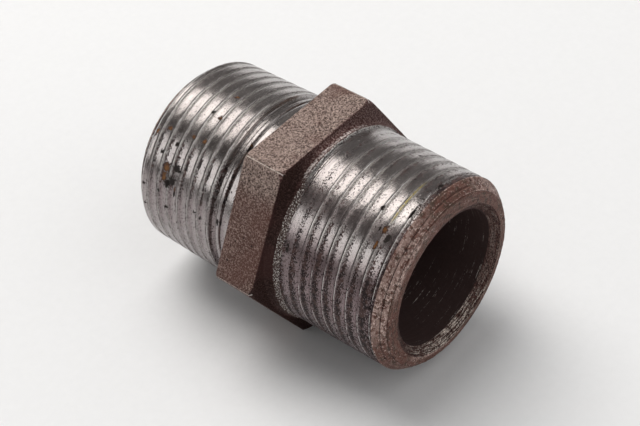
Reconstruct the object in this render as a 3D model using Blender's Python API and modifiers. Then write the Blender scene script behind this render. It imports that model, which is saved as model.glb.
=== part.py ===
"""Hex nipple: one piece of steel with a hexagon between two male pipe threads.

The pipe axis is X and +Z is up, with a wrench flat on top and another underneath. The origin is the
centre of the hexagon, on the pipe axis. Lengths are in metres.
"""
import math

import bmesh
import bpy
from mathutils import Matrix

MM = 0.001

# Pipe thread, 1 inch size with 11 threads to the inch
PITCH = 25.4 * MM / 11
THREAD_RADIUS = 33.249 * MM / 2      # over the crests, at the free ends
BARREL_RISE = 0.30 * MM              # how much the barrels' radius grows on the way to the hexagon
GROOVE_OPENING = 0.34 * PITCH        # the crests stay wide and flat between narrow grooves
GROOVE_DEPTH = 0.40 * MM
GROOVE_ROOT = 0.26 * MM              # width of the groove's flat bottom

# Body
ACROSS_FLATS = 36.5 * MM
HEX_THICKNESS = 7.82 * MM
BARREL_LENGTH = 22.7 * MM
BORE_RADIUS = 11.9 * MM
END_CHAMFER_LENGTH = 2.0 * MM
END_CHAMFER_DROP = 1.6 * MM

# Corner chamfers of the hexagon: each face is turned flat out to this radius
PLUS_FACE_RADIUS = 20.35 * MM
MINUS_FACE_RADIUS = 20.75 * MM
CORNER_CHAMFER_SLOPE = 0.9           # axial depth over radial depth

# Countersinks of the two mouths, cut a little off the pipe axis
COUNTERSINK_RADIUS = 13.2 * MM
COUNTERSINK_SLOPE = 0.55             # axial depth over radial depth
COUNTERSINK_OFFSET = 0.8 * MM
COUNTERSINK_SIDE = math.radians(305.0)

# Root of the plain end of the +X barrel: a fillet against the hexagon, then a machined step
FILLET_HEIGHT = 1.1 * MM
FILLET_END = 1.2 * MM
STEP_HEIGHT = 0.35 * MM
STEP_END = 2.2 * MM
FILLET_POINTS = 4
FILLET_INSIDE = 0.4 * MM             # the fillet's arc ends this far inside the hexagon

# Root of the -X barrel, as distances from the hexagon and radii
COLLAR_END = 2.6 * MM
COLLAR_RADIUS = 16.75 * MM
NOTCH_END = 3.1 * MM
NOTCH_RADIUS = 16.30 * MM
RIDGE_END = 3.8 * MM
RIDGE_RADIUS = 16.65 * MM
RELIEF_END = 5.1 * MM
RELIEF_RADIUS = 16.15 * MM
EDGE_SLOPE = 0.12 * MM               # axial length of each wall of these grooves

# Where the threads start and stop, as distances from the hexagon
PLUS_GROOVE_AT = 6.12 * MM           # a groove's middle on the +X barrel
PLUS_RUNOUT_START = 3.9 * MM         # the groove is shallowest here
PLUS_RUNOUT_END = 8.2 * MM           # and has its full depth from here on
RUNOUT_DEPTH = 0.14 * MM
MINUS_GROOVE_AT = 5.99 * MM
MINUS_GROOVE_STOP = 4.45 * MM        # inside the relief
GROOVE_ANGLE = math.radians(125.43)  # the grooves have those distances at this angle about +X from +Y

SEGMENTS = 36
HALF_STEP = math.pi / SEGMENTS        # turns an edge of one piece away from an edge of another
HALF_HEX = HEX_THICKNESS / 2
END = HALF_HEX + BARREL_LENGTH
CORNER_RADIUS = ACROSS_FLATS / math.sqrt(3)
PAST = 1.0 * MM                      # how far a cutter runs past what it cuts
AXIS_MERGE = 0.01 * MM               # points nearer than this to the axis become one
MERGE = 0.004 * MM                   # points nearer to each other than this become one


def clear_scene():
    for obj in list(bpy.data.objects):
        bpy.data.objects.remove(obj, do_unlink=True)


def new_collection(name):
    collection = bpy.data.collections.new(name)
    bpy.context.scene.collection.children.link(collection)
    return collection


def add_object(name, mesh, collection):
    obj = bpy.data.objects.new(name, mesh)
    collection.objects.link(obj)
    return obj


def mark_cutter(obj):
    obj.hide_render = True
    obj.display_type = 'WIRE'
    return obj


def barrel_radius(distance):
    """Radius over the crests at a distance from the hexagon."""
    return THREAD_RADIUS + BARREL_RISE * (1 - distance / BARREL_LENGTH)


def turned_object(name, profile, collection):
    """Solid of revolution about X. The profile is (x, radius) pairs, running towards -X outside."""
    mesh = bpy.data.meshes.new(name)
    points = [(x, radius, 0.0) for x, radius in profile]
    edges = [(i, i + 1) for i in range(len(points) - 1)]
    mesh.from_pydata(points, edges, [])
    obj = add_object(name, mesh, collection)
    screw = obj.modifiers.new("Turn", 'SCREW')
    screw.axis = 'X'
    screw.steps = SEGMENTS
    screw.render_steps = SEGMENTS
    screw.use_merge_vertices = True
    screw.merge_threshold = AXIS_MERGE
    return obj


def plus_barrel_profile():
    """The +X barrel from its free end to the hexagon."""
    chamfer_x = BARREL_LENGTH - END_CHAMFER_LENGTH
    profile = [
        (BARREL_LENGTH, 0.0),
        (BARREL_LENGTH, THREAD_RADIUS - END_CHAMFER_DROP),
        (chamfer_x, barrel_radius(chamfer_x)),
        (STEP_END, barrel_radius(STEP_END)),
    ]
    foot = barrel_radius(0.0) + STEP_HEIGHT
    for i in range(FILLET_POINTS + 1):
        turn = i / FILLET_POINTS * math.pi / 2
        x = FILLET_END - (FILLET_END + FILLET_INSIDE) * math.sin(turn)
        profile.append((x, foot + (FILLET_HEIGHT - STEP_HEIGHT) * (1 - math.cos(turn))))
    return profile


def minus_barrel_profile():
    """The -X barrel from its free end to the hexagon, also as distances from the hexagon."""
    chamfer_x = BARREL_LENGTH - END_CHAMFER_LENGTH
    return [
        (BARREL_LENGTH, 0.0),
        (BARREL_LENGTH, THREAD_RADIUS - END_CHAMFER_DROP),
        (chamfer_x, barrel_radius(chamfer_x)),
        (RELIEF_END + EDGE_SLOPE, barrel_radius(RELIEF_END)),
        (RELIEF_END, RELIEF_RADIUS),
        (RIDGE_END + EDGE_SLOPE, RELIEF_RADIUS),
        (RIDGE_END, RIDGE_RADIUS),
        (NOTCH_END, RIDGE_RADIUS),
        (NOTCH_END - EDGE_SLOPE, NOTCH_RADIUS),
        (COLLAR_END + EDGE_SLOPE, NOTCH_RADIUS),
        (COLLAR_END, COLLAR_RADIUS),
        (-PAST, COLLAR_RADIUS),
    ]


def barrels(collection):
    """Both barrels as one turned blank, joined through the middle of the hexagon."""
    plus = [(HALF_HEX + x, radius) for x, radius in plus_barrel_profile()]
    minus = [(-HALF_HEX - x, radius) for x, radius in minus_barrel_profile()]
    return turned_object("nipple_body", plus + minus[::-1], collection)


def hexagon(collection):
    """Hexagonal bar with a flat on top, its corners turned off at both faces."""
    bm = bmesh.new()
    bmesh.ops.create_cone(bm, cap_ends=True, segments=6, radius1=CORNER_RADIUS,
                          radius2=CORNER_RADIUS, depth=HEX_THICKNESS)
    bmesh.ops.rotate(bm, verts=bm.verts, matrix=Matrix.Rotation(math.pi / 2, 3, 'Y'))
    highest = max(vert.co.z for vert in bm.verts)
    corner_on_top = highest > (ACROSS_FLATS / 2 + CORNER_RADIUS) / 2
    if corner_on_top:
        bmesh.ops.rotate(bm, verts=bm.verts, matrix=Matrix.Rotation(math.pi / 6, 3, 'X'))
    mesh = bpy.data.meshes.new("hexagon")
    bm.to_mesh(mesh)
    bm.free()
    hex_bar = mark_cutter(add_object("hexagon", mesh, collection))
    outside = CORNER_RADIUS + PAST
    inward = PAST / CORNER_CHAMFER_SLOPE
    profile = [
        (HALF_HEX + PAST, 0.0),
        (HALF_HEX + PAST, PLUS_FACE_RADIUS - inward),
        (HALF_HEX - (outside - PLUS_FACE_RADIUS) * CORNER_CHAMFER_SLOPE, outside),
        ((outside - MINUS_FACE_RADIUS) * CORNER_CHAMFER_SLOPE - HALF_HEX, outside),
        (-HALF_HEX - PAST, MINUS_FACE_RADIUS - inward),
        (-HALF_HEX - PAST, 0.0),
    ]
    corner_turning = mark_cutter(turned_object("corner_turning", profile, collection))
    corner_turning.rotation_euler.x = HALF_STEP
    boolean(hex_bar, corner_turning, 'INTERSECT')
    return hex_bar


def thread_cutter(name, collection, side, groove_at, stop, depth_at):
    """Helical groove from past the free end back to a stop, as a loft of four-point sections.

    side is +1 or -1 for the barrel. Distances are from the hexagon, and depth_at gives the groove's
    depth at a distance. The helix is right-handed on both barrels: x grows with the angle.
    """
    step_angle = math.tau / SEGMENTS
    step_length = PITCH / SEGMENTS
    steps_out = math.ceil((BARREL_LENGTH + PAST - groove_at) / step_length)
    steps_in = math.floor((groove_at - stop) / step_length)
    half_root = GROOVE_ROOT / 2
    flank = (GROOVE_OPENING - GROOVE_ROOT) / 2 / GROOVE_DEPTH
    bm = bmesh.new()
    rings = []
    for i in range(-steps_in, steps_out + 1):
        distance = groove_at + i * step_length
        angle = GROOVE_ANGLE + side * (i + 0.5) * step_angle
        middle = side * (HALF_HEX + distance + 0.5 * step_length)
        surface = barrel_radius(distance)
        depth = depth_at(distance)
        half_top = half_root + flank * (depth + PAST)
        points = [
            (middle - half_top, surface + PAST),
            (middle - half_root, surface - depth),
            (middle + half_root, surface - depth),
            (middle + half_top, surface + PAST),
        ]
        ring = [bm.verts.new((x, r * math.cos(angle), r * math.sin(angle))) for x, r in points]
        rings.append(ring)
    for first, second in zip(rings, rings[1:]):
        for k in range(4):
            bm.faces.new((first[k], first[(k + 1) % 4], second[(k + 1) % 4], second[k]))
    bm.faces.new(rings[0][::-1])
    bm.faces.new(rings[-1])
    bmesh.ops.recalc_face_normals(bm, faces=bm.faces)
    mesh = bpy.data.meshes.new(name)
    bm.to_mesh(mesh)
    bm.free()
    return mark_cutter(add_object(name, mesh, collection))


def plus_depth(distance):
    """The +X thread runs out over about two turns before the plain end of its barrel."""
    share = (distance - PLUS_RUNOUT_START) / (PLUS_RUNOUT_END - PLUS_RUNOUT_START)
    share = min(1.0, max(0.0, share))
    return RUNOUT_DEPTH + (GROOVE_DEPTH - RUNOUT_DEPTH) * share


def minus_depth(distance):
    """The -X thread keeps its depth until it meets the relief."""
    return GROOVE_DEPTH


def bore_cutter(collection):
    bm = bmesh.new()
    bmesh.ops.create_cone(bm, cap_ends=True, segments=SEGMENTS, radius1=BORE_RADIUS,
                          radius2=BORE_RADIUS, depth=2 * (END + PAST))
    bmesh.ops.rotate(bm, verts=bm.verts, matrix=Matrix.Rotation(math.pi / 2, 3, 'Y'))
    mesh = bpy.data.meshes.new("bore_cutter")
    bm.to_mesh(mesh)
    bm.free()
    return mark_cutter(add_object("bore_cutter", mesh, collection))


def countersink_cutter(name, collection, side):
    """Shallow cone that opens the mouth at one end, on an axis beside the pipe axis."""
    wide = COUNTERSINK_RADIUS + PAST / COUNTERSINK_SLOPE
    narrow = BORE_RADIUS - 2 * COUNTERSINK_OFFSET
    depth = (wide - narrow) * COUNTERSINK_SLOPE
    bm = bmesh.new()
    bmesh.ops.create_cone(bm, cap_ends=True, segments=SEGMENTS, radius1=narrow, radius2=wide,
                          depth=depth)
    bmesh.ops.rotate(bm, verts=bm.verts, matrix=Matrix.Rotation(side * math.pi / 2, 3, 'Y'))
    middle = side * (END + PAST - depth / 2)
    sideways = (COUNTERSINK_OFFSET * math.cos(COUNTERSINK_SIDE),
                COUNTERSINK_OFFSET * math.sin(COUNTERSINK_SIDE))
    bmesh.ops.translate(bm, verts=bm.verts, vec=(middle, sideways[0], sideways[1]))
    mesh = bpy.data.meshes.new(name)
    bm.to_mesh(mesh)
    bm.free()
    return mark_cutter(add_object(name, mesh, collection))


def boolean(target, tool, operation):
    modifier = target.modifiers.new(tool.name, 'BOOLEAN')
    modifier.operation = operation
    modifier.object = tool
    return modifier


def steel_material():
    material = bpy.data.materials.new("machined_steel")
    material.use_nodes = True
    shader = material.node_tree.nodes["Principled BSDF"]
    shader.inputs["Base Color"].default_value = (0.45, 0.42, 0.40, 1.0)
    shader.inputs["Metallic"].default_value = 1.0
    shader.inputs["Roughness"].default_value = 0.35
    return material


def finish_mesh(obj):
    """Replaces the modifiers by their result, with smooth shading between the sharp edges."""
    depsgraph = bpy.context.evaluated_depsgraph_get()
    mesh = bpy.data.meshes.new_from_object(obj.evaluated_get(depsgraph))
    obj.modifiers.clear()
    obj.data = mesh
    bm = bmesh.new()
    bm.from_mesh(mesh)
    bmesh.ops.remove_doubles(bm, verts=bm.verts, dist=MERGE)
    bmesh.ops.triangulate(bm, faces=bm.faces)
    bm.to_mesh(mesh)
    bm.free()
    mesh.shade_smooth()
    mesh.set_sharp_from_angle(angle=math.radians(25.0))


def build_nipple():
    parts = new_collection("hex_nipple")
    cutters = new_collection("cutters")
    body = barrels(parts)
    boolean(body, hexagon(cutters), 'UNION')
    plus_thread = thread_cutter("plus_thread", cutters, 1, PLUS_GROOVE_AT, PLUS_RUNOUT_START,
                                plus_depth)
    minus_thread = thread_cutter("minus_thread", cutters, -1, MINUS_GROOVE_AT, MINUS_GROOVE_STOP,
                                 minus_depth)
    boolean(body, plus_thread, 'DIFFERENCE')
    boolean(body, minus_thread, 'DIFFERENCE')
    boolean(body, bore_cutter(cutters), 'DIFFERENCE')
    boolean(body, countersink_cutter("plus_countersink", cutters, 1), 'DIFFERENCE')
    boolean(body, countersink_cutter("minus_countersink", cutters, -1), 'DIFFERENCE')
    finish_mesh(body)
    body.data.materials.clear()
    body.data.materials.append(steel_material())


clear_scene()
build_nipple()
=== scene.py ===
import math

import bpy
import numpy as np
from mathutils import Matrix, Vector, noise


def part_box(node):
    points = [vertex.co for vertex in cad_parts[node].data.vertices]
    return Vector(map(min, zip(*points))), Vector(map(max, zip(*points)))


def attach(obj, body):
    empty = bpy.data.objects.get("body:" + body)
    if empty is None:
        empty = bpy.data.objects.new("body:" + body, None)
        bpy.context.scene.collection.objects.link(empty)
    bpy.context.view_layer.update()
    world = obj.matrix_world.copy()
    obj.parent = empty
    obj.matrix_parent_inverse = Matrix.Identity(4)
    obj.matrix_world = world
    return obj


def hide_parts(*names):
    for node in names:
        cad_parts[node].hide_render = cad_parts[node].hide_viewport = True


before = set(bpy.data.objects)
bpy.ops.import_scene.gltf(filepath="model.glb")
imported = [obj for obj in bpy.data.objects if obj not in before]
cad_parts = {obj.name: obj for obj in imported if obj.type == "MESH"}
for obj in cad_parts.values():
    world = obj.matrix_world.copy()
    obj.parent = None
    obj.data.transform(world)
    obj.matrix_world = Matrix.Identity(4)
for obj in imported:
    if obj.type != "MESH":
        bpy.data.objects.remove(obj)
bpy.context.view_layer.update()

MM = 0.001
TAU = math.tau

# ---------------------------------------------------------------- the part's main sizes, in mm
LOW, HIGH = (np.array(corner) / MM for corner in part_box("nipple_body"))
END = HIGH[0]                     # free ends of the barrels
APOTHEM = HIGH[2]                 # from the pipe axis to a wrench flat
CORNER = APOTHEM / math.cos(math.pi / 6)
HALF_HEX = 3.91                   # half the hexagon's length along the pipe
BARREL = END - HALF_HEX           # length of each barrel
PITCH = 25.4 / 11                 # 11 threads to the inch
CREST = 33.249 / 2                # thread radius at the free ends
RISE = 0.30                       # how much it grows towards the hexagon
BORE = 11.9                       # radius of the bore

# Countersink: its middle lies off the pipe axis
MOUTH_RADIUS = 13.2
MOUTH_OFFSET = 0.8
MOUTH_OFF_TOWARDS = 305.0         # degrees about +X
MOUTH_SLOPE = 0.55                # depth for each mm that it widens
MOUTH_LIMIT = 14.15               # the whole countersink lies inside this radius

# Free ends
CHAMFER_LENGTH = 2.0              # from the end face to the full barrel
CHAMFER_HEIGHT = 1.6
CHAMFER_FOOT = CREST - 1.5        # the end face lies inside this radius and the chamfer outside it
END_ZONE = END - 2.2              # the end face, countersink and chamfer lie further out than this

# Hexagon and the roots of the two barrels
PLUS_FACE, MINUS_FACE = 20.35, 20.75   # the hexagon's faces are turned flat out to these radii
CHAMFER_SLOPE = 0.9
STEP_HEIGHT = 0.36                # machined step on the +X side, over the barrel
FILLET_LENGTH = 1.3               # cast fillet from that step to the hexagon's face, along the axis
FILLET_HEIGHT = 0.7               # and outwards
PLUS_FACE_START = 1.10            # where the +X face begins, over the barrel
MINUS_FACE_START = 16.98          # radius at which the -X face begins

# Thread grooves
DEPTH = 0.20                      # of a full groove
GROOVE_SIDE = 125.43              # degrees about +X: the side facing the camera, where places count from
PLUS_GROOVE = HALF_HEX + 6.12     # x of a groove's middle on that side
MINUS_GROOVE = -HALF_HEX - 5.99
PLUS_THREAD_STOP = HALF_HEX + 2.9       # the threads end at these rings on the hexagon's side
MINUS_THREAD_STOP = -HALF_HEX - 5.18
ROW_CLEARANCE = 0.04              # a row of the thread nearer than this to a limiting ring falls on it
# Rows across one pitch: distance from the groove's middle in mm, depth as a share of the full one,
# how torn the metal is from 0 to 1, and 1 on a painted highlight line, -1 on a painted shade line
THREAD_ROWS = [
    (-0.30, 0.0, 0.0, 0.0), (-0.24, 0.08, 0.2, 0.0), (-0.19, 0.60, 0.5, -1.0), (-0.14, 0.88, 0.6, -0.3),
    (-0.09, 0.72, 0.3, 1.0), (-0.03, 0.66, 0.3, 1.0), (0.04, 0.86, 0.8, 0.0), (0.14, 0.88, 1.0, 0.0),
    (0.27, 0.70, 1.0, 0.0), (0.44, 0.42, 0.8, 0.0), (0.62, 0.20, 0.45, 0.0), (0.85, 0.07, 0.15, 0.0),
    (1.10, 0.0, 0.0, 0.0), (1.40, 0.0, 0.0, 0.0), (1.72, 0.0, 0.0, 0.0),
]

# Mesh
COLUMNS = 276                     # vertices around the pipe
CROWDING = 0.55                   # how much closer they stand near the hexagon's corners
SHARP_ANGLE = 50                  # degrees between faces from which an edge is shaded sharp


def column_angles():
    """Angles about +X, from +Y to +Z, closer together near the hexagon's six corners."""
    u = np.arange(COLUMNS) / COLUMNS * TAU
    return u - CROWDING * np.sin(6 * u) / 6


ANGLE = column_angles()


def smooth(t):
    """0 up to t = 0 and 1 from t = 1, with an eased step between them."""
    t = np.clip(t, 0.0, 1.0)
    return t * t * (3 - 2 * t)


def wrapped(degrees):
    """The same angle between -180 and 180 degrees."""
    return (degrees + 180.0) % 360.0 - 180.0


# each column's degrees from GROOVE_SIDE, growing from the top towards -Y and the underside
SIDE = wrapped(np.degrees(ANGLE) - GROOVE_SIDE)


def fractal(points, scale, octaves, seed):
    """Signed smooth noise at points in mm, with features about 1 / scale mm across."""
    offset = Vector((seed, seed * 1.7, seed * 0.3))
    total = np.zeros(len(points))
    for level in range(octaves):
        k = scale * 2 ** level
        total += [noise.noise(Vector(p) * k + offset) / 2 ** level for p in points]
    return total


# ---------------------------------------------------------------- one closed skin of rings and strips
class Skin:
    """Vertices placed by x and radius, in mm, and column, and faces with a material number.

    torn says how rough the metal is at a vertex, from 0 on a crest to 1 in a groove, pitted how far
    its surface noise moves it, in mm, and line is 1 on a painted highlight line and -1 on a painted shade
    line.
    """

    def __init__(self):
        self.vertices = []
        self.count = 0
        self.faces, self.face_material = [], []

    def add(self, x, r, column, torn, pitted, line):
        """Adds vertices, given as numbers or arrays of one length, and gives their ids."""
        added = np.array(np.broadcast_arrays(x, r, column, torn, pitted, line), float)
        self.vertices.append(added)
        ids = np.arange(self.count, self.count + added.shape[1])
        self.count += added.shape[1]
        return ids

    def ring(self, x, r, torn=0.0, pitted=0.006, line=0.0):
        """One vertex in each column."""
        return self.add(x, r, np.arange(COLUMNS), torn, pitted, line)

    def quads(self, a, b, c, d, material):
        """Quads a-b-c-d, given as id arrays. Repeated corners are dropped, collapsed quads too."""
        for quad in zip(a.ravel(), b.ravel(), c.ravel(), d.ravel()):
            corners = list(dict.fromkeys(quad))
            if len(corners) > 2:
                self.faces.append(corners)
                self.face_material.append(material)

    def join(self, first, second, material):
        """A band between two rings, the first one further along the outline."""
        after = np.roll(np.arange(COLUMNS), -1)
        self.quads(first, second, second[after], first[after], material)


STEEL, FORGED, NEAR_FACE, END_SKIN, MOUTH, BORE_SKIN = range(6)


def barrel_radius(x):
    """The radius of the thread's crests, which grows a little towards the hexagon."""
    return CREST + RISE * (END - np.abs(x)) / BARREL


def thread(skin, from_ring, to_ring, x_high, x_low, groove_x, depth_at):
    """Fills the skin between a ring at x_high and one at x_low with a strip that follows the helix.

    The strip's rows run along the groove, so that its edges stay crisp. Where the strip passes one of
    the two rings its corners fall on that ring.
    """
    place, share_at, torn_at, line_at = (np.array(column) for column in zip(*THREAD_ROWS))
    share = ANGLE / TAU - GROOVE_SIDE / 360.0
    turns = int(math.ceil((x_high - x_low) / PITCH)) + 3
    first_turn = math.floor((x_low - groove_x) / PITCH) - 1
    column = np.arange(turns * COLUMNS)
    along = groove_x + PITCH * (first_turn + column // COLUMNS + share[column % COLUMNS])
    turned = ANGLE[column % COLUMNS]
    helix = np.column_stack([along, CREST * np.cos(turned), CREST * np.sin(turned)])
    wander = 0.035 * fractal(helix, scale=0.8, octaves=3, seed=21.0)
    # the fine painted highlight and shade lines are broken in places, and the painted highlights are duller
    # on the upper side
    unbroken = smooth(0.75 + 1.1 * fractal(helix, scale=0.22, octaves=3, seed=31.0))
    glint_by_side = 0.50 + 0.50 * smooth((SIDE[column % COLUMNS] + 45) / 20)
    x = along[None, :] + place[:, None] + wander[None, :]
    before = x <= x_low + ROW_CLEARANCE
    inside = ~before & (x < x_high - ROW_CLEARANCE)
    ids = np.where(before, to_ring[column % COLUMNS], from_ring[column % COLUMNS])
    row = np.arange(len(place))[:, None]
    on_column, row, whole, glint_strength = (np.broadcast_to(values, x.shape)[inside]
                                     for values in (column % COLUMNS, row, unbroken, glint_by_side))
    x = x[inside]
    depth = depth_at(x)
    r = barrel_radius(x) - depth * share_at[row]
    strength = np.minimum(1.0, depth / DEPTH * 1.3)
    torn = torn_at[row] * strength
    line = line_at[row] * strength * whole
    line = np.where(line > 0, line * glint_strength, line)
    ids[inside] = skin.add(x, r, on_column, torn, 0.004 + 0.030 * torn, line)
    lower, upper = ids[:, :-1], ids[:, 1:]
    skin.quads(lower[1:], lower[:-1], upper[:-1], upper[1:], STEEL)
    # the last row of a turn is followed by the first row of the next turn
    wrap_low, wrap_high = ids[-1, :-COLUMNS - 1], ids[-1, 1:-COLUMNS]
    next_low, next_high = ids[0, COLUMNS:-1], ids[0, COLUMNS + 1:]
    skin.quads(next_low, wrap_low, wrap_high, next_high, STEEL)


def end_rings(side):
    """Rings from inside the bore over the end face to the outer chamfer's upper edge.

    A ring is (x, radius, material of the band before it, pitted, line); line is a painted highlight where
    positive and a painted shade where negative.
    """
    mouth = MOUTH_RADIUS + MOUTH_OFFSET * np.cos(ANGLE - math.radians(MOUTH_OFF_TOWARDS))
    depth = (mouth - BORE) * MOUTH_SLOPE
    outer = CREST - CHAMFER_HEIGHT
    high = barrel_radius(END - CHAMFER_LENGTH)
    bore_x = (1.5, 4.5, 8.0, 12.0, 16.0, 20.0, 23.5, 25.0)
    rings = [(side * x, BORE, BORE_SKIN, 0.03, 0.0) for x in bore_x]
    rings.append((side * (END - depth), BORE, BORE_SKIN, 0.01, 0.0))
    for t in (0.08, 0.35, 0.65, 0.92):
        rings.append((side * (END - depth * (1 - t)), BORE + (mouth - BORE) * t, MOUTH, 0.03, 0.0))
    rings.append((side * END, mouth + 0.05, MOUTH, 0.008, 0.3))
    for t in (0.2, 0.45, 0.7, 0.93):
        rings.append((side * (END - 0.02), mouth + (outer - mouth) * t, END_SKIN, 0.014, 0.0))
    # the outer chamfer in two bands, each ending in a low step, with painted shade lines in the steps and
    # painted highlight lines on the rims: distance from the end face, radius, line
    chamfer = ((0.05, outer + 0.02, 0.0), (0.14, outer + 0.08, -1.0), (0.30, outer + 0.11, 1.0),
               (0.36, outer + 0.22, 0.2), (0.58, outer + 0.50, 0.0), (0.82, outer + 0.78, 0.0),
               (0.95, outer + 0.80, -1.0), (1.08, outer + 0.74, -0.4), (1.20, outer + 0.90, 0.6),
               (1.45, outer + 1.20, 0.1), (1.72, outer + 1.48, 0.0), (1.90, high - 0.03, 1.0))
    for back, r, line in chamfer:
        bare = side < 0 and back > 0.9               # the outer band at the -X end is bare steel
        rings.append((side * (END - back), r, STEEL if bare else END_SKIN, 0.045, line))
    return rings


def plus_root(put):
    """Plain collar with fine turned rings, machined step and cast fillet between thread and hexagon."""
    base = barrel_radius(HALF_HEX + 2.0)
    # distance from the hexagon's face, height over the barrel, line
    collar = ((2.80, 0.0, 0.0), (2.73, -0.03, -0.8), (2.66, 0.0, 0.3), (2.40, 0.0, 0.0),
              (2.32, -0.05, -0.8), (2.24, -0.01, 0.4), (2.05, -0.02, 0.0), (1.97, -0.06, -0.7),
              (1.90, 0.0, 0.5))
    step = ((1.74, 0.02, 0.0), (1.62, 0.20, 0.3), (1.55, 0.31, 1.0), (1.42, 0.35, 1.0), (1.35, 0.35, 0.3))
    for x, up, line in collar:
        put(HALF_HEX + x, base + up, STEEL, 0.0, 0.010, line)
    around = np.column_stack([0 * ANGLE, CREST * np.cos(ANGLE), CREST * np.sin(ANGLE)])
    burr = smooth(0.5 + 1.6 * fractal(around, scale=0.45, octaves=3, seed=41.0))
    # the step's rim carries a painted highlight on the upper side, and lies under the scale lower down
    rim_glint = 0.12 + 0.88 * smooth((-2.0 - SIDE) / 12.0) * smooth((SIDE + 110.0) / 40.0)
    for x, up, line in step:
        put(HALF_HEX + x + 0.12 * burr, base + up, STEEL, 0.9, 0.09, line * rim_glint * (0.45 + 0.55 * burr))
    foot = barrel_radius(HALF_HEX) + STEP_HEIGHT
    for t in (0.0, 0.12, 0.28, 0.45, 0.62, 0.8, 0.95):
        turn = t * math.pi / 2
        x = HALF_HEX + FILLET_LENGTH * (1 - math.sin(turn))
        put(x, foot + FILLET_HEIGHT * (1 - math.cos(turn)), NEAR_FACE, 0.0, 0.05)


def minus_root(put):
    """Collar, notch, ridge and relief between the hexagon and the -X thread."""
    # distance from the hexagon's face, radius
    collar = ((0.08, 16.90), (0.3, 16.77), (0.9, 16.75), (1.6, 16.75), (2.3, 16.75), (2.52, 16.73),
              (2.62, 16.64))
    notch = ((2.72, 16.36), (2.80, 16.3), (2.95, 16.3), (3.02, 16.36))
    ridge = ((3.10, 16.58), (3.18, 16.65), (3.30, 16.62), (3.44, 16.65), (3.58, 16.62), (3.72, 16.64),
             (3.82, 16.58))
    relief = ((3.92, 16.3), (4.0, 16.19), (4.3, 16.16), (4.7, 16.17), (4.93, 16.22), (5.03, 16.4))
    thread_foot = ((5.1, 16.66),)
    # the notch and the relief are torn, with a painted shade line in each recess
    clean, torn_and_shaded = (0.0, 0.004, 0.0), (0.35, 0.012, -0.5)
    for profile, finish in ((collar, clean), (notch, torn_and_shaded), (ridge, clean), (relief, torn_and_shaded),
                            (thread_foot, clean)):
        for x, r in profile:
            put(-HALF_HEX - x, r, STEEL, *finish)


def hexagon_rings(put):
    """The two hexagon faces, their turned corners, the flats and the rounded edges."""
    # angles from the nearest corner and from the middle of the nearest flat
    from_corner = (ANGLE + math.pi / 6) % (math.pi / 3) - math.pi / 6
    from_flat = ANGLE % (math.pi / 3) - math.pi / 6
    flat = APOTHEM / np.cos(from_flat)
    worn_corner = CORNER - 0.14 - 1.3 * np.abs(from_corner) ** 1.5
    rounded = np.minimum(flat, worn_corner)
    edge_at = {}
    faces = {}
    for side, turned, start in ((1, PLUS_FACE, barrel_radius(HALF_HEX) + PLUS_FACE_START),
                                (-1, MINUS_FACE, MINUS_FACE_START)):
        face = np.minimum(rounded - 0.16, turned)
        corner_depth = np.maximum(0, rounded - turned) * CHAMFER_SLOPE
        # the flat face, the turned corners, and a small round to the wrench flats
        rings = [(HALF_HEX - 0.01, start + (face - start) * t)
                 for t in (0.0, 0.12, 0.3, 0.5, 0.7, 0.88, 1.0)]
        rings += [(HALF_HEX - 0.03 - corner_depth * t, face + (rounded - face) * t) for t in (0.35, 0.7)]
        rings.append((HALF_HEX - 0.15 - corner_depth, rounded))
        edge_at[side] = side * (HALF_HEX - 0.15 - corner_depth)
        faces[side] = [(side * x, r) for x, r in rings]
    for x, r in faces[1]:
        put(x, r, NEAR_FACE, 0.0, 0.022)
    for t in np.linspace(0, 1, 12)[1:-1]:
        put(edge_at[1] * (1 - t) + edge_at[-1] * t, rounded, FORGED, 0.0, 0.022)
    for x, r in faces[-1][::-1]:
        put(x, r, FORGED, 0.0, 0.018)


def plus_depth(x):
    """The +X thread runs out towards the plain collar over about two turns."""
    first = 0.25 * smooth((x - HALF_HEX - 3.0) / 1.5)
    return DEPTH * (first + 0.75 * smooth((x - HALF_HEX - 3.9) / 4.3))


def minus_depth(x):
    """The -X thread has its full depth up to the relief."""
    return np.full_like(x, DEPTH)


def build_skin():
    """The whole outline from the middle of the bore over the +X end and back through the -X end."""
    skin = Skin()
    path = []                                       # (ring, material of the band before it)

    def put(x, r, material, torn=0.0, pitted=0.006, line=0.0):
        path.append((skin.ring(x, r, torn, pitted, line), material))

    def threaded(x_high, x_low, drop, groove_x, depth_at, material):
        """A thread between two rings. The first one lies drop below the crests."""
        top = skin.ring(x_high, barrel_radius(x_high) - drop)
        bottom = skin.ring(x_low, barrel_radius(x_low))
        thread(skin, top, bottom, x_high, x_low, groove_x, depth_at)
        path.append((top, material))
        path.append((bottom, None))

    for x, r, material, pitted, line in end_rings(1):
        put(x, r, material, 0.0, pitted, line)
    threaded(END - CHAMFER_LENGTH, PLUS_THREAD_STOP, 0.0, PLUS_GROOVE, plus_depth, END_SKIN)
    plus_root(put)
    hexagon_rings(put)
    minus_root(put)
    threaded(MINUS_THREAD_STOP, -END + CHAMFER_LENGTH, 0.01, MINUS_GROOVE, minus_depth, STEEL)
    # seen from outside inwards, a band's material stands with the ring before it
    inwards = end_rings(-1)[::-1]
    materials = [STEEL] + [ring[2] for ring in inwards[:-1]]
    for (x, r, _, pitted, line), material in zip(inwards, materials):
        put(x, r, material, 0.0, pitted, line)
    for (first, _), (second, material) in zip(path, path[1:]):
        if material is not None:
            skin.join(first, second, material)
    skin.join(path[-1][0], path[0][0], BORE_SKIN)
    return skin
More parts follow.
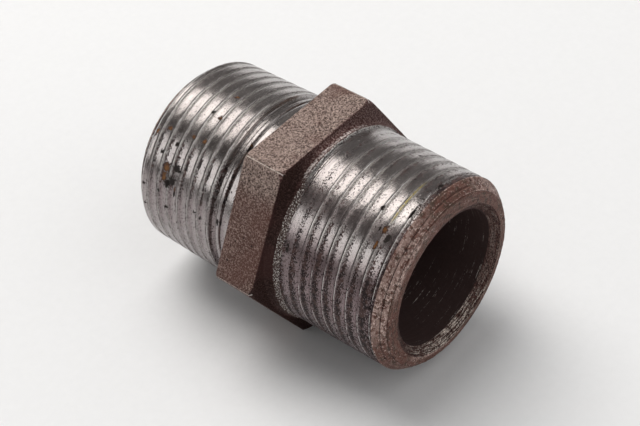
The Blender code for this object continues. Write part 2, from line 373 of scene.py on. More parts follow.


# ---------------------------------------------------------------- stains, scuffing and painted light and shade, for each point
# side is in degrees from GROOVE_SIDE. smooth((side - 12) / 16) is a step that starts at 12 degrees
# and is 16 degrees wide, and smooth((160 - side) / 50) is one that ends at 160 degrees.

# Single stains: x in mm, degrees from GROOVE_SIDE, half length along x and half width around, in mm
ORANGE_SPOTS = [
    (-15.05, -18.9, 0.42, 0.42), (-14.9, -2.9, 0.40, 0.55), (-17.3, -2.4, 0.45, 0.40),
    (-15.6, -35.0, 0.70, 0.30), (-22.3, -0.5, 0.60, 0.45), (-24.3, 4.4, 0.35, 0.75),
    (-19.9, 20.0, 0.85, 1.00), (-20.0, 26.0, 0.60, 0.95), (-17.3, 29.5, 0.35, 0.5),
    (-7.0, -13.0, 0.28, 0.4), (21.4, -7.0, 0.35, 0.9), (21.3, 2.0, 0.3, 1.0),
]
BLACK_SPOTS = [
    (-17.8, 18.2, 1.15, 0.65), (-18.2, 26.0, 1.00, 0.80), (-19.2, 29.0, 0.8, 0.7),
    (-19.5, 5.6, 0.38, 0.38), (-21.8, 13.4, 0.35, 0.40), (-20.9, 36.0, 0.42, 0.32),
    (-24.4, 36.4, 0.36, 0.30), (-12.4, 35.7, 0.32, 0.25), (-11.1, 38.0, 0.30, 0.40),
    (-7.5, 35.0, 0.40, 0.50), (-6.7, 35.0, 0.40, 0.45), (-17.0, -20.6, 0.32, 0.30),
    (-6.9, -11.0, 0.30, 0.70), (-11.3, 12.0, 0.16, 1.2), (-11.3, 27.0, 0.16, 1.3),
    (-13.6, 10.0, 0.15, 1.1), (-16.0, 14.0, 0.16, 1.0), (-17.2, 33.0, 0.3, 0.4),
    (-24.2, 50.0, 0.5, 0.16), (-18.9, 44.0, 0.35, 0.16), (-15.4, 63.0, 0.5, 0.16),
    (-10.4, 61.0, 0.45, 0.14), (-20.3, 56.0, 0.4, 0.14), (22.6, -3.5, 0.45, 0.9),
    (20.7, -6.5, 0.25, 0.6), (18.97, -16.5, 0.36, 0.42), (23.6, -21.4, 0.20, 0.95),
    (12.3, -68.0, 0.45, 0.28), (23.6, -45.0, 0.25, 0.8), (16.0, -62.0, 0.3, 0.3),
    (7.2, 26.0, 0.3, 1.2),
]


def stain_field(x, side, spots):
    """How far each point is inside the nearest stain: 1 in the middle and 0 outside."""
    field = np.zeros(len(x))
    for at, angle, length, width in spots:
        around = np.radians(wrapped(side - angle)) * CREST
        field = np.maximum(field, np.clip(1.25 - np.hypot((x - at) / length, around / width), 0, 1))
    return field


def ochre_field(x, side):
    """A yellow line in the +X barrel's sixth groove."""
    middle = PLUS_GROOVE + PITCH * (5 + side / 360.0)
    near = smooth((0.24 - np.abs(x - middle - 0.05)) / 0.14)
    return near * smooth((side + 46) / 8) * smooth((-10 - side) / 6)


def after_groove(x, side):
    """How far a point is past the groove before it, as a share of the pitch."""
    middle = np.where(x > 0, PLUS_GROOVE, MINUS_GROOVE)
    return (x - middle - PITCH * side / 360.0) / PITCH % 1.0


def dirt_field(x, side, patches):
    """Dirt and rust from 0 to 1. It gathers behind each groove and low on the +X barrel.

    low and bottom are on the side turned to the floor, hidden is the side away from the camera, and
    lit is the strip just below GROOVE_SIDE.
    """
    after = after_groove(x, side)
    wide_band = smooth((after - 0.07) / 0.08) * smooth((0.70 - after) / 0.16)
    band = smooth((after - 0.08) / 0.08) * smooth((0.58 - after) / 0.20)
    low = smooth((side - 12) / 16) * smooth((160 - side) / 50)
    bottom = smooth((side - 42) / 25) * smooth((160 - side) / 50)
    hidden = smooth((np.abs(wrapped(side - 190)) - 70) / -40)
    lit = smooth((side + 3) / 8) * smooth((40 - side) / 16)
    plus = 0.17 + 0.22 * band * smooth((side + 60) / 30)
    plus += 0.36 * band * smooth((-34 - side) / 12) * smooth((side + 125) / 30)
    plus += 0.26 * band * smooth((side + 2) / 6) * smooth((30 - side) / 10)
    plus += low * (0.22 + 0.29 * wide_band) + 0.14 * bottom + 0.16 * hidden
    plus += 0.30 * smooth((x - END + 4.3) / 1.5)
    minus = 0.10 + 0.52 * lit * band + 0.22 * hidden + 0.12 * band
    minus += 0.10 * smooth((side - 25) / 20) * smooth((140 - side) / 40)
    return np.clip(np.where(x > 0, plus, minus) + 0.15 * patches, 0, 1)


def film_and_shade_field(x, side, patches):
    """Thin brown coat on the metal, 0 to 1, with painted shade: a dark band on the +X barrel where its
    crests reflect a dark part of the room, and on the -X barrel shade across each turn and darker towards
    the bottom.
    """
    low = smooth((side - 4) / 22) * smooth((170 - side) / 40)
    plus = 0.08 + 0.85 * low + 0.35 * smooth((x - END + 4.0) / 2.5)
    # painted shade: a dark band on the +X barrel where its crests reflect a dark part of the room
    plus += 0.40 * smooth((side + 14) / 8) * smooth((6 - side) / 8)
    # the -X barrel is darker towards the bottom, with painted shade rising and falling across each turn of
    # the thread
    below = smooth((side - 18) / 14) * smooth((120 - side) / 30)
    crest_shading = 0.5 - 0.5 * np.cos(TAU * (after_groove(x, side) + 0.15))
    minus = 0.04 + (0.28 + 0.40 * crest_shading) * below
    minus += 0.20 * smooth((np.abs(wrapped(side - 190)) - 80) / -40)
    return np.clip(np.where(x > 0, plus, minus) + 0.15 * patches, 0, 1)


def scale_field(x, side, patches):
    """Where the brown forge scale of the hexagon still covers the root of the +X barrel."""
    reach = 2.10 + 0.95 * smooth((side + 12) / 16) * smooth((130 - side) / 50)
    root = smooth((HALF_HEX + reach - x) / 1.1)
    return np.where(x > HALF_HEX + 0.2, root, 0.0) + 0.10 * patches * (x > 0)


def wear_and_light_field(x, r, angle):
    """Lighter sides of the countersink, end face, outer chamfer and hexagon, from 0 to 1: scuffing on the
    end face, partly scuffing and partly painted highlight on the outer chamfer, a painted highlight on the
    countersink's lower side, which faces up, and painted light on the hexagon's top flat and on the upper
    side of its +X face.
    """
    def towards(degrees, start, soft):
        """0 to 1 on the side at this angle about +X, from where the cosine of the turn passes start."""
        return smooth((np.cos(angle - math.radians(degrees)) - start) / soft)

    # painted highlight: brighter rings on the countersink's lower side, which faces up
    countersink = towards(268, 0.55, 0.35) * (r < MOUTH_LIMIT)
    # scuffing on the end face; on the outer chamfer partly scuffing and partly painted highlight
    end_face = towards(128, 0.86, 0.12) * ((r >= MOUTH_LIMIT) & (r < CHAMFER_FOOT))
    chamfer = (towards(142, 0.62, 0.30) + 0.8 * towards(42, 0.93, 0.05)) * (r >= CHAMFER_FOOT)
    # painted light: the upper side of the +X face is lighter
    near_face_shading = towards(45, 0.25, 0.5) * (x > HALF_HEX - 0.1)
    # painted light: the top flat is lighter, and forged_skin paints the other flats shaded
    flats = towards(90, 0.62, 0.2) * (x <= HALF_HEX - 0.1)
    return np.where(np.abs(x) > END_ZONE, countersink + end_face + chamfer, near_face_shading + flats)


def edge_field(x, r, angle, side):
    """Scuffed edges of the hexagon, and bare crumbs on the upper side of the fillet at the +X root, painted
    there as a highlight.
    """
    from_corner = np.abs((angle + math.pi / 6) % (math.pi / 3) - math.pi / 6) * CORNER
    axial = np.exp(-(from_corner / 0.24) ** 2) * (r > CORNER - 0.6)
    rim = np.exp(-((np.abs(x) - HALF_HEX + 0.12) / 0.16) ** 2) * (r > APOTHEM - 0.25)
    fillet = smooth((x - HALF_HEX - 0.35) / 0.5) * (x < HALF_HEX + FILLET_LENGTH + 0.01)
    # bright crumbs only on the upper side of the fillet: painted highlight
    fillet = 0.78 * fillet * smooth((2 - side) / 14) * smooth((side + 80) / 20)
    return np.maximum(np.maximum(axial, 0.55 * rim), fillet)


def marks_and_shading_fields(x, r, angle, side, points):
    """The fields of dirt, scuffing, stains and painted light and shade that the materials read, by name."""
    patches = fractal(points, scale=0.13, octaves=3, seed=5.0)
    return {
        "dirt": dirt_field(x, side, patches),
        "film_and_shade": film_and_shade_field(x, side, patches),
        "scale": scale_field(x, side, patches),
        "edge": edge_field(x, r, angle, side),
        "wear_and_light": wear_and_light_field(x, r, angle),
        "orange": stain_field(x, side, ORANGE_SPOTS),
        "black": stain_field(x, side, BLACK_SPOTS),
        "ochre": ochre_field(x, side),
    }


# ---------------------------------------------------------------- materials
class Nodes:
    """A node tree, and short ways to fill its sockets."""

    def __init__(self, tree):
        self.tree = tree

    def put(self, socket, value):
        """Links a node's output to the socket, or sets a plain value on it."""
        if isinstance(value, bpy.types.NodeSocket):
            self.tree.links.new(value, socket)
        else:
            socket.default_value = value

    def mix(self, share, a, b):
        """Colour a where share is 0, and colour b where it is 1."""
        node = self.tree.nodes.new("ShaderNodeMix")
        node.data_type = 'RGBA'
        self.put(node.inputs["Factor"], share)
        self.put(node.inputs["A"], a)
        self.put(node.inputs["B"], b)
        return node.outputs["Result"]


class Graph(Nodes):
    """Short names for the shader nodes that a material is made of. Coordinates are in mm."""

    def __init__(self, name):
        self.material = bpy.data.materials.new(name)
        self.material.use_nodes = True
        super().__init__(self.material.node_tree)
        self.shader = self.tree.nodes["Principled BSDF"]
        place = self.tree.nodes.new("ShaderNodeTexCoord").outputs["Object"]
        self.mm = self.vector('SCALE', place, scale=1 / MM)

    def vector(self, operation, a, b=None, scale=None):
        node = self.tree.nodes.new("ShaderNodeVectorMath")
        node.operation = operation
        self.put(node.inputs[0], a)
        if b is not None:
            self.put(node.inputs[1], b)
        if scale is not None:
            node.inputs["Scale"].default_value = scale
        return node.outputs["Vector"]

    def stretched(self, along, around):
        """Coordinates for marks drawn out around the pipe: along and around are marks per mm."""
        return self.vector('MULTIPLY', self.mm, (along, around, around))

    def rings(self, across, around):
        """Coordinates for marks drawn out along circles, on a face square to the pipe axis."""
        flat = self.vector('MULTIPLY', self.mm, (0.0, around, around))
        radius = self.tree.nodes.new("ShaderNodeVectorMath")
        radius.operation = 'LENGTH'
        self.put(radius.inputs[0], flat)
        outwards = self.tree.nodes.new("ShaderNodeCombineXYZ")
        self.put(outwards.inputs["X"], self.math('MULTIPLY', radius.outputs["Value"], across / around))
        return self.vector('ADD', flat, outwards.outputs["Vector"])

    def noise(self, vector, scale=1.0, detail=3.0, roughness=0.55):
        node = self.tree.nodes.new("ShaderNodeTexNoise")
        self.put(node.inputs["Vector"], vector)
        node.inputs["Scale"].default_value = scale
        node.inputs["Detail"].default_value = detail
        node.inputs["Roughness"].default_value = roughness
        return node.outputs["Fac"]

    def cells(self, vector, scale):
        """Distance from the nearest of many scattered points, for pits."""
        node = self.tree.nodes.new("ShaderNodeTexVoronoi")
        self.put(node.inputs["Vector"], vector)
        node.inputs["Scale"].default_value = scale
        return node.outputs["Distance"]

    def math(self, operation, a, b=0.0, c=0.0):
        node = self.tree.nodes.new("ShaderNodeMath")
        node.operation = operation
        for socket, value in zip(node.inputs, (a, b, c)):
            self.put(socket, value)
        return node.outputs[0]

    def span(self, value, low, high, to_low=0.0, to_high=1.0):
        """value from low to high becomes to_low to to_high, clamped and eased."""
        node = self.tree.nodes.new("ShaderNodeMapRange")
        node.interpolation_type = 'SMOOTHSTEP'
        for socket, number in zip(node.inputs, (value, low, high, to_low, to_high)):
            self.put(socket, number)
        return node.outputs[0]

    def field(self, name):
        """One of the fields that make_nipple stores at the mesh's points."""
        node = self.tree.nodes.new("ShaderNodeAttribute")
        node.attribute_name = name
        return node.outputs["Fac"]

    def bump(self, height, distance_mm, after=None):
        """A normal for relief of this depth, laid over the relief of after."""
        node = self.tree.nodes.new("ShaderNodeBump")
        node.inputs["Distance"].default_value = distance_mm * MM
        self.put(node.inputs["Height"], height)
        if after is not None:
            self.put(node.inputs["Normal"], after)
        return node.outputs["Normal"]

    def finish(self, colour, metallic, roughness, normal, gloss=0.2):
        """Fills the shader, each value a socket or a plain value, and gives the material."""
        self.shader.inputs["Specular IOR Level"].default_value = gloss
        self.put(self.shader.inputs["Base Color"], colour)
        self.put(self.shader.inputs["Metallic"], metallic)
        self.put(self.shader.inputs["Roughness"], roughness)
        self.put(self.shader.inputs["Normal"], normal)
        return self.material


def rgb(r, g, b):
    """A linear colour."""
    return (r, g, b, 1.0)


def steel_lines(g, torn, crumb):
    """Shares of the painted highlight lines and of the painted shade lines, both broken up."""
    line = g.field("line")
    chips = g.noise(g.stretched(1.6, 0.9), detail=4.0, roughness=0.65)
    # painted highlight lines where line is positive
    bright = g.math('MULTIPLY', g.span(line, 0.2, 0.7), g.span(chips, 0.36, 0.52, 0.2, 1.0))
    # on the torn rim at the root the painted highlight line is a row of crumbs
    gaps = g.math('MULTIPLY', g.span(torn, 0.6, 0.9), g.span(crumb, 0.47, 0.56, 0.9, 0.0))
    bright = g.math('MULTIPLY', bright, g.math('SUBTRACT', 1.0, gaps))
    # painted shade lines where line is negative
    shade_line = g.math('MULTIPLY', g.span(line, -0.4, -0.9), g.span(chips, 0.42, 0.58, 0.9, 0.1))
    return bright, shade_line


def steel_metal(g, torn, film_and_shade, lines, smear, crumb, bright, shade_line):
    """Colour of the bare metal, of the torn grooves, of the thin brown coat with its painted shade, and of
    the painted highlight and shade lines.
    """
    colour = g.mix(g.span(smear, 0.32, 0.68), rgb(0.33, 0.312, 0.308), rgb(0.42, 0.396, 0.388))
    colour = g.mix(g.span(lines, 0.35, 0.72, 0.0, 0.4), colour, rgb(0.52, 0.49, 0.475))
    crumbs = g.mix(g.span(crumb, 0.38, 0.62), rgb(0.17, 0.155, 0.15), rgb(0.62, 0.60, 0.58))
    colour = g.mix(g.span(torn, 0.1, 0.7, 0.0, 0.85), colour, crumbs)
    # the brown coat, with its painted shade, is thinner on the painted highlight lines
    film_and_shade_share = g.math('MULTIPLY', film_and_shade, g.span(bright, 0.0, 1.0, 0.84, 0.30))
    colour = g.mix(film_and_shade_share, colour, rgb(0.175, 0.118, 0.125))
    # the painted highlight lines: a pale colour
    colour = g.mix(g.math('MULTIPLY', bright, 0.80), colour, rgb(0.86, 0.83, 0.80))
    # the painted shade lines: near black
    return g.mix(g.math('MULTIPLY', shade_line, 0.80), colour, rgb(0.070, 0.048, 0.046))


def steel_stains(g, colour, crumb, bright):
    """Lays specks of dirt, rust, ochre and black stains and pits over the colour, and gives their share."""
    # the more dirt there is, the lower the threshold of the specks
    speck = g.noise(g.stretched(4.4, 3.4), detail=2.0, roughness=0.6)
    level = g.math('MULTIPLY_ADD', g.field("dirt"), -0.36, 0.715)
    speck = g.math('SUBTRACT', speck, g.math('MULTIPLY_ADD', bright, 0.12, level))
    speck = g.span(speck, -0.006, 0.016)
    tone = g.noise(g.mm, 1.1)
    dark = g.mix(g.span(tone, 0.42, 0.62), rgb(0.018, 0.010, 0.010), rgb(0.075, 0.042, 0.038))
    colour = g.mix(speck, colour, dark)
    ragged = g.math('MULTIPLY_ADD', g.noise(g.mm, 3.0, detail=4.0, roughness=0.7), 2.4, -1.2)
    blotch = g.math('ADD', ragged, g.field("orange"))
    orange = g.span(blotch, 0.33, 0.42)
    rust = g.mix(g.span(blotch, 0.45, 1.00), rgb(0.040, 0.020, 0.015), rgb(0.22, 0.098, 0.034))
    colour = g.mix(orange, colour, rust)
    ochre = g.math('MULTIPLY', g.span(crumb, 0.40, 0.56), g.field("ochre"))
    colour = g.mix(ochre, colour, rgb(0.36, 0.29, 0.07))
    black = g.span(g.math('ADD', ragged, g.field("black")), 0.30, 0.42)
    colour = g.mix(black, colour, rgb(0.018, 0.013, 0.011))
    pit_share = g.span(g.noise(g.mm, 0.35), 0.45, 0.7)
    pits = g.math('MULTIPLY', g.span(g.cells(g.mm, 0.95), 0.08, 0.14, 1.0, 0.0), pit_share)
    colour = g.mix(pits, colour, rgb(0.03, 0.022, 0.02))
    stains = g.math('MAXIMUM', g.math('MAXIMUM', speck, pits), g.math('MAXIMUM', orange, black))
    return colour, stains


def steel_scale(g, colour, crumb, bright):
    """Lays the brown scale with its ragged edge over the colour, and gives its share."""
    coarse = g.noise(g.mm, 1.3, detail=4.0, roughness=0.6)
    scaled = g.span(g.math('MULTIPLY_ADD', coarse, 0.9, g.field("scale")), 0.93, 1.0)
    scaled = g.math('MULTIPLY', scaled, g.span(bright, 0.0, 1.0, 1.0, 0.1))
    tone = g.mix(g.span(crumb, 0.38, 0.56), rgb(0.035, 0.020, 0.016), rgb(0.13, 0.085, 0.075))
    tone = g.mix(g.span(crumb, 0.54, 0.61), tone, rgb(0.80, 0.76, 0.72))
    return g.mix(scaled, colour, tone), scaled


def turned_steel(name):
    """Bare machined steel: turning lines, torn grooves, dirt, rust stains, the edge of the scale, painted
    highlight and shade lines, and a thin brown coat that is partly painted shade.
    """
    g = Graph(name)
    torn, film_and_shade = g.field("torn"), g.field("film_and_shade")
    lines = g.noise(g.stretched(9.0, 0.08), detail=4.0, roughness=0.7)
    smear = g.noise(g.stretched(0.9, 0.30), detail=4.0, roughness=0.6)
    grain = g.noise(g.mm, 3.0, detail=4.0, roughness=0.65)
    crumb = g.noise(g.mm, 4.5, detail=3.0, roughness=0.7)
    bright, shade_line = steel_lines(g, torn, crumb)
    colour = steel_metal(g, torn, film_and_shade, lines, smear, crumb, bright, shade_line)
    colour, stains = steel_stains(g, colour, crumb, bright)
    colour, scaled = steel_scale(g, colour, crumb, bright)
    dull = g.math('MAXIMUM', stains, scaled)
    # the painted highlight lines are less metallic, so that their pale colour shows
    metallic = g.math('MULTIPLY_ADD', bright, -0.65, g.math('MULTIPLY_ADD', dull, -0.85, 1.0))
    rough = g.math('MULTIPLY_ADD', film_and_shade, 0.12, g.span(smear, 0.3, 0.7, 0.14, 0.24))
    rough = g.math('MAXIMUM', rough, g.math('MULTIPLY', dull, 0.62))
    rough = g.math('MAXIMUM', rough, g.math('MULTIPLY', torn, 0.42))
    normal = g.bump(lines, 0.018)
    normal = g.bump(smear, 0.045, after=normal)
    normal = g.bump(grain, 0.012, after=normal)
    normal = g.bump(g.math('MULTIPLY', crumb, torn), 0.09, after=normal)
    normal = g.bump(g.math('SUBTRACT', g.math('SUBTRACT', scaled, stains), shade_line), 0.04, after=normal)
    return g.finish(colour, metallic, rough, normal)


def forged_skin(name, dark, light, red, edge, tint, shaded_share, lit_share, gloss):
    """Granular brown forge scale of the hexagon, with red patches, scuffed edges and painted light and
    shade by side. shaded_share and lit_share are the shares of the red to tint tones where the
    wear_and_light field is 0 and 1: painted shade on the flats other than the top one, and painted light on
    the upper side of the +X face.
    """
    g = Graph(name)
    grain = g.noise(g.mm, 3.6, detail=3.0, roughness=0.8)
    coarse = g.noise(g.mm, 1.3, detail=4.0, roughness=0.6)
    patches = g.noise(g.mm, 0.16, detail=4.0)
    wear_and_light = g.field("wear_and_light")
    # a few more light grains where the wear_and_light field is high, as painted light
    sparse = g.math('MULTIPLY_ADD', wear_and_light, 0.05, g.math('ADD', grain, -0.05))
    colour = g.mix(g.span(sparse, 0.41, 0.59), dark, light)
    colour = g.mix(g.span(coarse, 0.42, 0.70, 0.0, 0.45), colour, g.mix(0.3, dark, light))
    colour = g.mix(g.span(patches, 0.48, 0.66, 0.0, 0.55), colour, red)
    reddish = g.mix(g.span(grain, 0.46, 0.66), red, tint)
    # painted light and shade: the red and tint tones follow the wear_and_light field
    colour = g.mix(g.span(wear_and_light, 0.0, 1.0, shaded_share, lit_share), colour, reddish)
    # scuffed hexagon edges, and on the +X fillet's upper side bright crumbs painted as a highlight
    rubbed_and_glint = g.math('MULTIPLY_ADD', coarse, 0.5, g.math('MULTIPLY', grain, 0.9))
    rubbed_and_glint = g.span(g.math('ADD', rubbed_and_glint, g.field("edge")), 1.40, 1.60)
    colour = g.mix(g.math('MULTIPLY', rubbed_and_glint, 0.75), colour, edge)
    pits = g.span(g.cells(g.mm, 0.45), 0.06, 0.12, 1.0, 0.0)
    colour = g.mix(pits, colour, rgb(0.03, 0.018, 0.015))
    normal = g.bump(grain, 0.08)
    normal = g.bump(coarse, 0.08, after=normal)
    rough = g.span(grain, 0.3, 0.7, 0.66, 0.45)
    return g.finish(colour, 0.0, rough, normal, gloss)


def end_skin(name):
    """Rusty end face and chamfer: reddish brown with bright specks, scuffed and on the chamfer partly
    painted highlight, painted shade lines in the chamfer's steps, dark pits and turned rings.
    """
    g = Graph(name)
    line, wear_and_light = g.field("line"), g.field("wear_and_light")
    grain = g.noise(g.mm, 3.0, detail=4.0, roughness=0.7)
    coarse = g.noise(g.rings(1.4, 0.7), detail=4.0, roughness=0.65)
    turned = g.noise(g.rings(5.0, 0.25), detail=4.0, roughness=0.7)
    patches = g.noise(g.mm, 0.40, detail=4.0)
    colour = g.mix(g.span(grain, 0.32, 0.72), rgb(0.075, 0.034, 0.027), rgb(0.21, 0.108, 0.086))
    colour = g.mix(g.span(coarse, 0.48, 0.70, 0.0, 0.6), colour, rgb(0.145, 0.060, 0.046))
    colour = g.mix(g.span(coarse, 0.52, 0.36, 0.0, 0.85), colour, rgb(0.062, 0.043, 0.032))
    colour = g.mix(g.span(turned, 0.52, 0.68, 0.0, 0.5), colour, rgb(0.30, 0.20, 0.165))
    # lighter mottle where the wear_and_light field is high: scuffing, and on the chamfer partly painted
    # highlight
    mottle = g.math('MULTIPLY', g.span(g.noise(g.rings(1.5, 1.0)), 0.42, 0.60), wear_and_light)
    colour = g.mix(g.math('MULTIPLY', mottle, 0.6), colour, rgb(0.46, 0.33, 0.29))
    # cream specks where the wear_and_light field is high and along the painted highlight lines
    cream = g.math('MULTIPLY_ADD', g.span(patches, 0.44, 0.60), 0.35, g.math('MULTIPLY', wear_and_light, 0.75))
    share = g.math('MAXIMUM', cream, g.span(line, 0.1, 0.9))
    fleck = g.noise(g.rings(3.2, 2.6), detail=4.0, roughness=0.75)
    specks = g.span(g.math('MULTIPLY_ADD', share, 0.12, fleck), 0.60, 0.74)
    colour = g.mix(g.math('MULTIPLY', specks, 0.95), colour, rgb(0.74, 0.58, 0.52))
    # painted shade lines in the chamfer's steps
    shade_line = g.math('MULTIPLY', g.span(line, -0.2, -0.8), g.span(coarse, 0.36, 0.54, 0.3, 1.0))
    pits = g.span(g.cells(g.mm, 0.5), 0.09, 0.17, 0.85, 0.0)
    colour = g.mix(g.math('MAXIMUM', shade_line, pits), colour, rgb(0.022, 0.012, 0.010))
    normal = g.bump(grain, 0.07)
    normal = g.bump(turned, 0.06, after=normal)
    normal = g.bump(coarse, 0.12, after=normal)
    rough = g.span(grain, 0.3, 0.7, 0.55, 0.38)
    return g.finish(colour, g.math('MULTIPLY', specks, 0.7), rough, normal, gloss=0.08)


def mouth_skin(name):
    """Countersink: dark brown, with fine bright turned rings, brightest on its lower side, which faces up,
    where they are painted highlight.
    """
    g = Graph(name)
    lines = g.noise(g.stretched(9.0, 0.35), detail=4.0, roughness=0.75)
    coarse = g.noise(g.mm, 0.7, detail=4.0, roughness=0.65)
    grain = g.noise(g.mm, 3.6, detail=3.0, roughness=0.7)
    colour = g.mix(g.span(grain, 0.40, 0.62), rgb(0.020, 0.008, 0.007), rgb(0.10, 0.052, 0.044))
    bright = g.math('MULTIPLY', g.span(lines, 0.46, 0.60), g.span(coarse, 0.38, 0.52))
    # the rings are painted brighter on the lower side, which faces up: painted highlight
    bright = g.math('MULTIPLY', bright, g.span(g.field("wear_and_light"), 0.0, 1.0, 0.16, 1.0))
    bright = g.math('MULTIPLY', bright, g.span(grain, 0.40, 0.56, 0.2, 1.0))
    colour = g.mix(bright, colour, rgb(0.78, 0.68, 0.60))
    colour = g.mix(g.span(coarse, 0.38, 0.28), colour, rgb(0.03, 0.014, 0.012))
    normal = g.bump(lines, 0.06)
    normal = g.bump(grain, 0.05, after=normal)
    rough = g.span(bright, 0.0, 1.0, 0.60, 0.36)
    return g.finish(colour, g.math('MULTIPLY', bright, 0.7), rough, normal, gloss=0.05)


def bore_skin(name):
    """Dark oxide in the bore with faint turning scratches."""
    g = Graph(name)
    lines = g.noise(g.stretched(3.0, 0.10), detail=5.0, roughness=0.8)
    share = g.noise(g.mm, 0.16, detail=2.0)
    crumb = g.noise(g.mm, 2.6, detail=3.0)
    scratch = g.math('MULTIPLY', g.span(lines, 0.585, 0.65), g.span(share, 0.42, 0.58))
    scratch = g.math('MULTIPLY', scratch, g.span(crumb, 0.40, 0.60))
    colour = g.mix(crumb, rgb(0.06, 0.036, 0.034), rgb(0.10, 0.065, 0.060))
    colour = g.mix(scratch, colour, rgb(0.90, 0.82, 0.76))
    rough = g.span(lines, 0.3, 0.7, 0.6, 0.4)
    return g.finish(colour, 0.3, rough, g.bump(lines, 0.04))


def floor_paper():
    """Pale matt paper with a faint fibre."""
    g = Graph("floor_paper")
    fibre = g.noise(g.mm, 0.8)
    colour = g.mix(fibre, rgb(0.80, 0.80, 0.80), rgb(0.84, 0.84, 0.84))
    return g.finish(colour, 0.0, 0.9, g.bump(fibre, 0.02))


# ---------------------------------------------------------------- the piece
def make_materials():
    """The materials, in the order of their numbers in the skin."""
    # the flats other than the top one get painted shade, darker and redder
    forged = forged_skin("forged_skin", dark=rgb(0.048, 0.027, 0.022), light=rgb(0.43, 0.325, 0.280),
                         red=rgb(0.095, 0.040, 0.031), edge=rgb(0.60, 0.53, 0.46),
                         tint=rgb(0.28, 0.18, 0.15), shaded_share=0.55, lit_share=0.0, gloss=0.15)
    # a darker copy of the scale for the +X face and the fillet, which turn away from the lights: painted
    # shade, with painted light on the face's upper side
    near_face_shading = forged_skin("near_face_shading", dark=rgb(0.026, 0.013, 0.011), light=rgb(0.085, 0.048, 0.043),
                            red=rgb(0.070, 0.032, 0.029), edge=rgb(0.78, 0.70, 0.66),
                            tint=rgb(0.42, 0.29, 0.265), shaded_share=0.0, lit_share=0.75, gloss=0.05)
    return (turned_steel("turned_steel"), forged, near_face_shading, end_skin("end_skin"),
            mouth_skin("mouth_skin"), bore_skin("bore_skin"))


def make_nipple():
    """The nipple as one closed mesh, with the fields that its materials read."""
    skin = build_skin()
    x, r, column, torn, pitted, line = np.concatenate(skin.vertices, axis=1)
    column = column.astype(int)
    angle, side = ANGLE[column], SIDE[column]
    points = np.column_stack([x, r * np.cos(angle), r * np.sin(angle)])
    mesh = bpy.data.meshes.new("nipple")
    mesh.from_pydata((points * MM).tolist(), [], skin.faces)
    mesh.polygons.foreach_set("material_index", skin.face_material)
    # waves and pits move each point along its normal
    normals = np.empty(len(x) * 3)
    mesh.vertex_normals.foreach_get("vector", normals)
    waves = 0.016 * fractal(points, scale=0.22, octaves=2, seed=3.0)
    pits = pitted * fractal(points, scale=1.9, octaves=2, seed=9.0)
    height = waves + pits - 0.3 * pitted
    points += normals.reshape(-1, 3) * height[:, None]
    mesh.vertices.foreach_set("co", (points * MM).ravel())
    fields = {"torn": torn, "line": line}
    fields.update(marks_and_shading_fields(x, r, angle, side, points))
    for name, values in fields.items():
        mesh.attributes.new(name, 'FLOAT', 'POINT').data.foreach_set("value", values)
    mesh.update()
    mesh.shade_smooth()
    mesh.set_sharp_from_angle(angle=math.radians(SHARP_ANGLE))
    for material in make_materials():
        mesh.materials.append(material)
    obj = bpy.data.objects.new("nipple", mesh)
    bpy.context.scene.collection.objects.link(obj)
    return obj


nipple = make_nipple()
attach(nipple, "root")
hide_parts("nipple_body")


# ---------------------------------------------------------------- floor, light and camera
def make_floor():
    """A square of paper under the hexagon's lowest flat."""
    mesh = bpy.data.meshes.new("floor")
    half, z = 0.8, LOW[2] * MM
    corners = [(-half, -half, z), (half, -half, z), (half, half, z), (-half, half, z)]
    mesh.from_pydata(corners, [], [(0, 1, 2, 3)])
    mesh.materials.append(floor_paper())
    floor = bpy.data.objects.new("floor", mesh)
    bpy.context.scene.collection.objects.link(floor)


def soft_box(name, place, width, height, power, colour):
    """A rectangular light aimed at the origin, its width as near along the pipe axis as it can be."""
    light = bpy.data.lights.new(name, 'AREA')
    light.shape = 'RECTANGLE'
    light.size, light.size_y = width, height
    light.energy = power
    light.color = colour
    obj = bpy.data.objects.new(name, light)
    back = Vector(place).normalized()
    side = Vector((1, 0, 0)) - back * back.x
    side.normalize()
    turn = Matrix((side, back.cross(side), back)).transposed().to_4x4()
    obj.matrix_world = Matrix.Translation(place) @ turn
    obj.visible_camera = False
    bpy.context.scene.collection.objects.link(obj)
    return obj


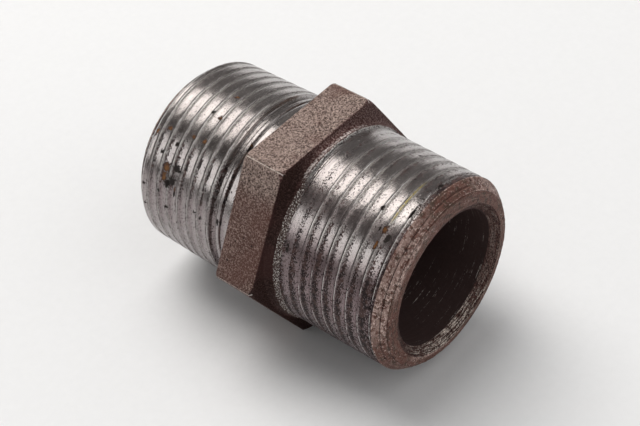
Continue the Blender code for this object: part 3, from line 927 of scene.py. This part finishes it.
def make_lights():
    """Soft boxes around the pipe. Places and sizes are in metres, powers in watts."""
    soft_box("overhead", (-0.50, 0.10, 0.84), 0.9, 0.50, 3.8, (1.0, 0.96, 0.92))
    front_left = soft_box("front_left", (-0.46, -0.665, 0.40), 0.8, 0.42, 1.6, (1.0, 0.98, 0.97))
    front_left.visible_diffuse = False                # a streak on the steel that leaves the paper even
    soft_box("horizon", (-0.51, 0.85, 0.06), 1.4, 0.13, 0.65, (1.0, 0.98, 0.97))
    soft_box("end_fill", (0.70, 0.25, 0.66), 0.9, 0.9, 1.8, (1.0, 1.0, 1.0))
    wash = soft_box("wash", (-0.40, 0.15, 0.85), 0.8, 0.8, 5.0, (1.0, 1.0, 1.0))
    wash.visible_glossy = False                       # it lights the paper and the scale, not the steel


def make_world():
    """The room: near white to the camera, grey where it lights, and shaded where it is reflected."""
    world = bpy.data.worlds.new("studio")
    bpy.context.scene.world = world
    world.use_nodes = True
    w = Nodes(world.node_tree)
    new = w.tree.nodes.new
    path = new("ShaderNodeLightPath")
    direction = new("ShaderNodeSeparateXYZ")
    w.put(direction.inputs[0], new("ShaderNodeTexCoord").outputs["Generated"])
    far_side = new("ShaderNodeMapRange")
    w.put(far_side.inputs["From Min"], -0.4)
    w.put(far_side.inputs["From Max"], 0.7)
    w.put(far_side.inputs["Value"], direction.outputs["Y"])
    # as the steel sees it, the room is darker in front of the pipe and paler behind it
    room = w.mix(far_side.outputs[0], rgb(0.085, 0.074, 0.070), rgb(0.20, 0.187, 0.182))
    room = w.mix(path.outputs["Is Glossy Ray"], rgb(0.32, 0.32, 0.32), room)
    room = w.mix(path.outputs["Is Camera Ray"], room, rgb(0.9, 0.9, 0.9))
    w.put(w.tree.nodes["Background"].inputs["Color"], room)


def make_camera():
    """The photo's point of view: above the pipe's front side, near its +X end. Places are in metres."""
    camera = bpy.data.cameras.new("camera")
    camera.sensor_width = 36
    camera.lens = 81.84
    camera.clip_start = 0.01
    obj = bpy.data.objects.new("camera", camera)
    # the picture's right and up directions in the part's frame
    right = Vector((0.75457, 0.64976, -0.09184)).normalized()
    up = Vector((-0.40965, 0.57574, 0.70761))
    back = right.cross(up).normalized()
    turn = Matrix((right, back.cross(right), back)).transposed().to_4x4()
    obj.matrix_world = Matrix.Translation(Vector((0.12317, -0.11924, 0.16760))) @ turn
    bpy.context.scene.collection.objects.link(obj)
    bpy.context.scene.camera = obj


make_floor()
make_lights()
make_world()
make_camera()
bpy.context.scene.view_settings.view_transform = 'Standard'
